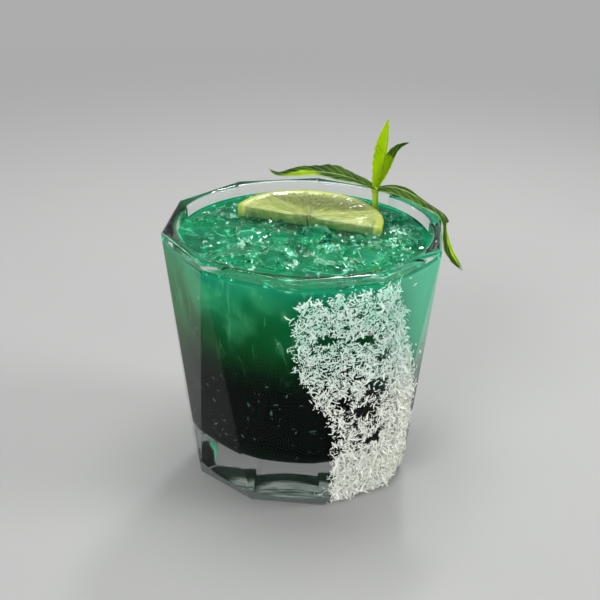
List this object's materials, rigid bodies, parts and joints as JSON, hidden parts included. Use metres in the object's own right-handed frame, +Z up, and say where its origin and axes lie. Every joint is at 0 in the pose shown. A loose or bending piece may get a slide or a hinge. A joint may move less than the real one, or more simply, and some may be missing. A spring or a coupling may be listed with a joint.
{
  "type": "iced lime and mint cocktail",
  "caption": "Iced green cocktail in a heavy ten-sided faceted tumbler, with cracked ice, a lime half-wheel, a mint sprig and a patch of coconut shreds stuck to the outside.",
  "frame": {"origin": "middle of the glass's foot, on the surface that it stands on", "axes": "+Z up along the axis of the glass, -Y towards the side that the picture shows, with the coconut to the right of it and the mint at the back right"},
  "size_m": [0.1007, 0.0947, 0.1153],
  "materials": {
    "glass": "polished",
    "drink": "clear liquid",
    "ice": "wet",
    "lime": "wet fruit",
    "mint": "leaf",
    "coconut": "dry shreds"
  },
  "bodies": {
    "root": {"glass": "glass", "drink": "drink", "lime_slice": "lime", "mint_sprig": "mint", "coconut_coat": "coconut", "ice_left": "ice", "ice_middle_left": "ice", "ice_middle": "ice", "ice_front_left": "ice", "ice_front": "ice", "ice_front_middle": "ice", "ice_front_right": "ice", "ice_right": "ice", "ice_back_right": "ice"}
  },
  "joints": []
}
